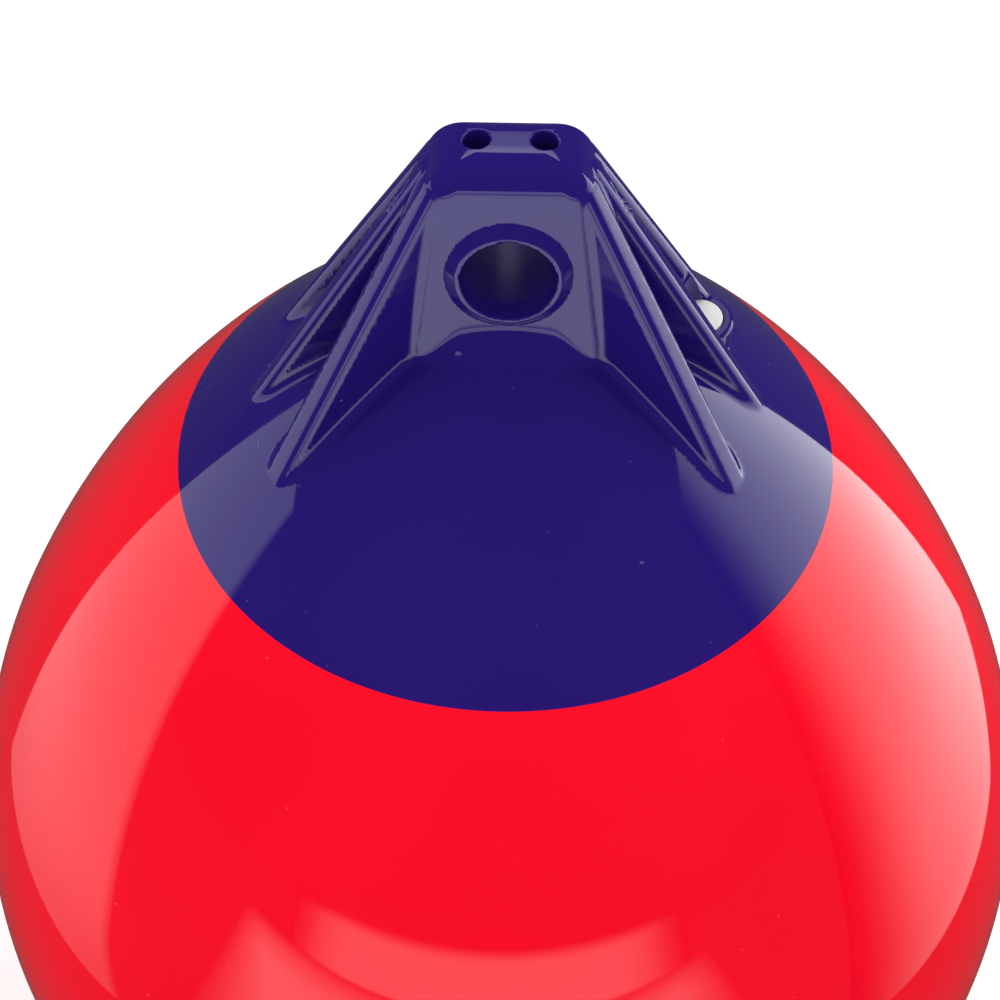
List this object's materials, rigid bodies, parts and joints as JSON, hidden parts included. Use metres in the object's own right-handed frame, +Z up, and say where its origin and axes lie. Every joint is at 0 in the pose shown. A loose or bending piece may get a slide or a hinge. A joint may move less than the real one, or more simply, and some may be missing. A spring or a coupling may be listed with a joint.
{
  "type": "ball fender",
  "caption": "Inflated vinyl ball with a ribbed rope hold moulded onto its neck, a wide rope eye and an inflation valve beside the ribs.",
  "frame": {"origin": "centre of the rope eye, on the axis of the ball", "axes": "+Z up along the ball's axis, from the ball through the rope eye; +Y along the rope eye's hole; +X towards the side that carries the valve"},
  "size_m": [0.368, 0.368, 0.4964],
  "materials": {
    "red_vinyl": "glossy inflated vinyl with faint scratches",
    "blue_vinyl": "glossy dark blue moulded vinyl with small scuffs on its edges",
    "white_nylon": "smooth white moulded nylon"
  },
  "bodies": {
    "root": {"ball": "red_vinyl", "rope_hold": "blue_vinyl", "valve_seat": "white_nylon", "valve_plug": "white_nylon"}
  },
  "joints": []
}
